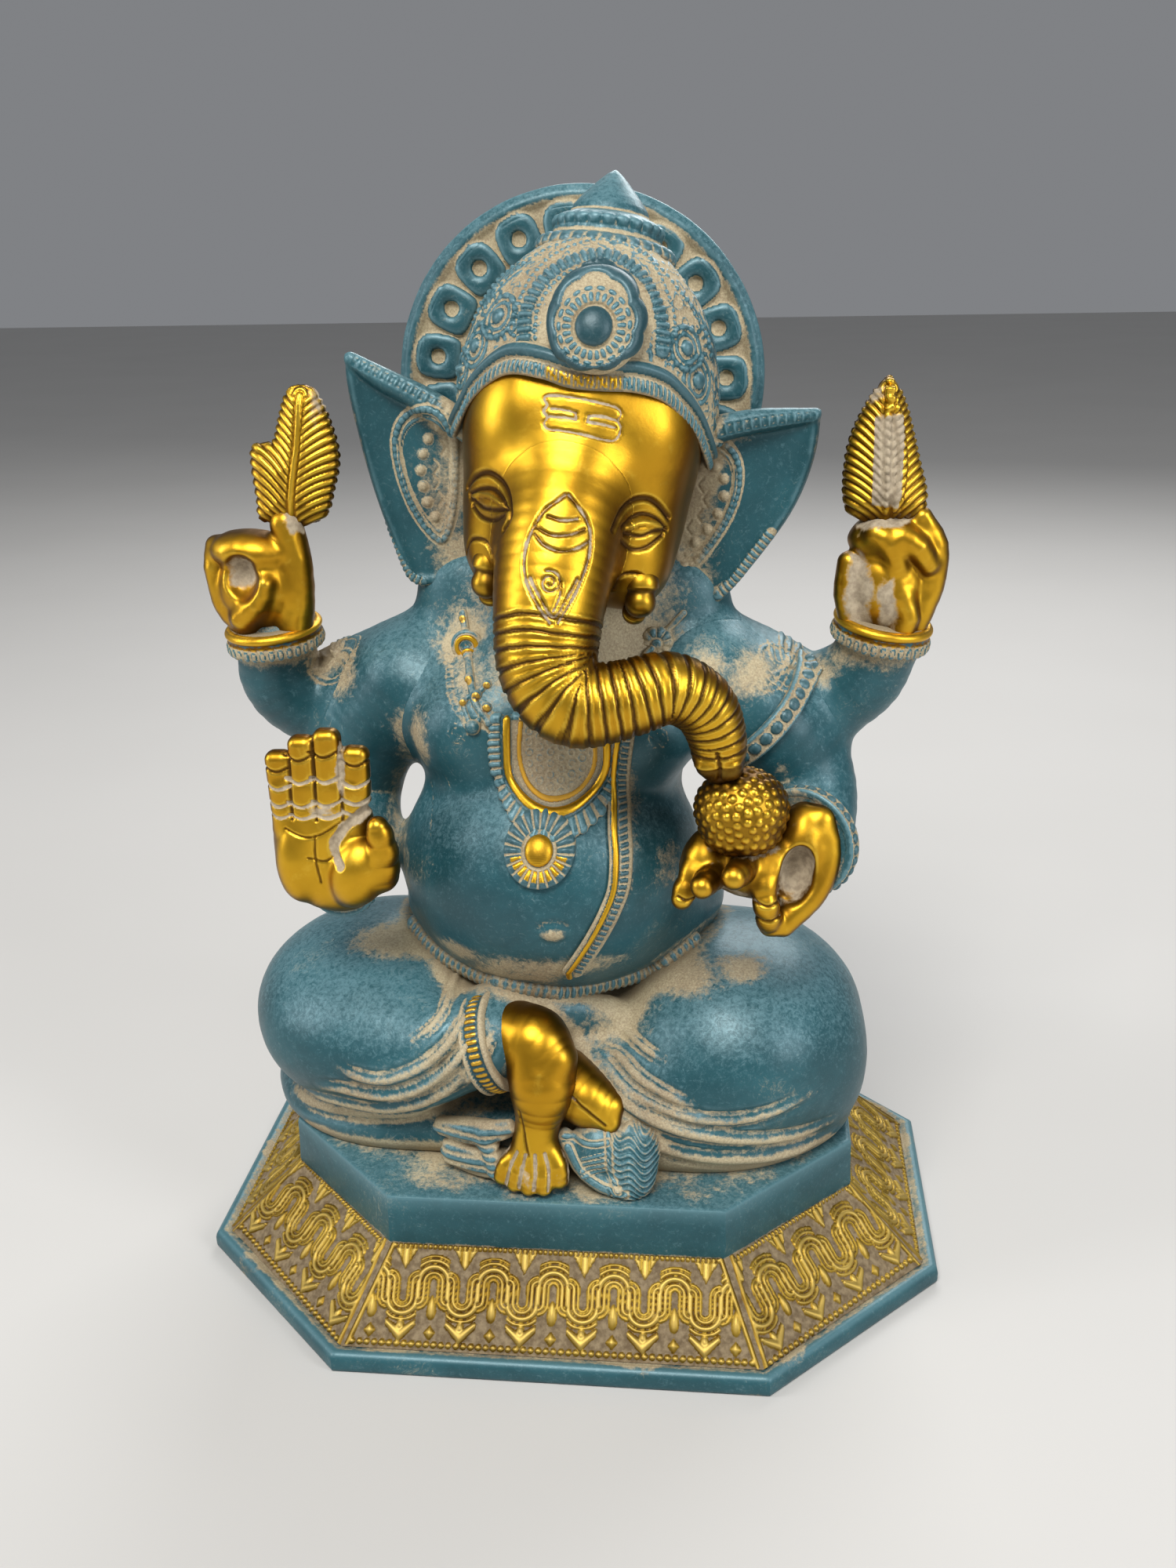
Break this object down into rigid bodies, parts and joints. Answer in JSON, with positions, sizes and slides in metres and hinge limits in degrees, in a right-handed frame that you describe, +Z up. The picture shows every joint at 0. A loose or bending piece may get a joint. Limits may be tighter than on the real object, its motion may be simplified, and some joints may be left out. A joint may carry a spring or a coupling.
{
  "type": "ganesha idol",
  "caption": "Seated elephant-headed devotional idol with four arms, crown and halo, on an octagonal base, in teal-painted cast brass with polished gold parts.",
  "frame": {"origin": "centre of the base's underside, on the surface it stands on", "axes": "+Z up; the idol faces -Y; its own left hand is on the +X side"},
  "size_m": [0.2, 0.1616, 0.2803],
  "materials": {
    "teal_patina": "satin antique paint, beige wash in the recesses",
    "polished_brass": "hand-polished, with dark wash in the chased lines",
    "chased_band": "polished relief over beige wash, with a teal rim",
    "screw_steel": "plain"
  },
  "bodies": {
    "root": {"anklet": "polished_brass", "base_skirt": "chased_band", "blessing_hand": "polished_brass", "cloth_end": "teal_patina", "crossed_legs": "teal_patina", "crown": "teal_patina", "crown_band": "teal_patina", "crown_finial": "teal_patina", "crown_medallion": "teal_patina", "dais_plate": "teal_patina", "dais_wall": "teal_patina", "front_left_arm": "teal_patina", "front_left_bracelet": "polished_brass", "front_right_arm": "teal_patina", "front_right_bracelet": "teal_patina", "halo": "teal_patina", "head": "polished_brass", "left_armlet": "teal_patina", "left_ear": "teal_patina", "left_foot": "polished_brass", "left_hand_bud": "polished_brass", "left_tusk": "polished_brass", "mouse": "teal_patina", "necklace": "polished_brass", "offering_hand": "polished_brass", "pendant": "polished_brass", "rear_left_arm": "teal_patina", "rear_left_cuff": "polished_brass", "rear_left_hand": "polished_brass", "rear_right_arm": "teal_patina", "rear_right_cuff": "polished_brass", "rear_right_hand": "polished_brass", "right_ear": "teal_patina", "right_foot": "polished_brass", "right_hand_leaf": "polished_brass", "right_tusk": "polished_brass", "sacred_thread": "polished_brass", "seat_screws": "screw_steel", "sweet_ball": "polished_brass", "torso": "teal_patina", "trunk": "polished_brass", "waist_belt": "teal_patina"}
  },
  "joints": []
}
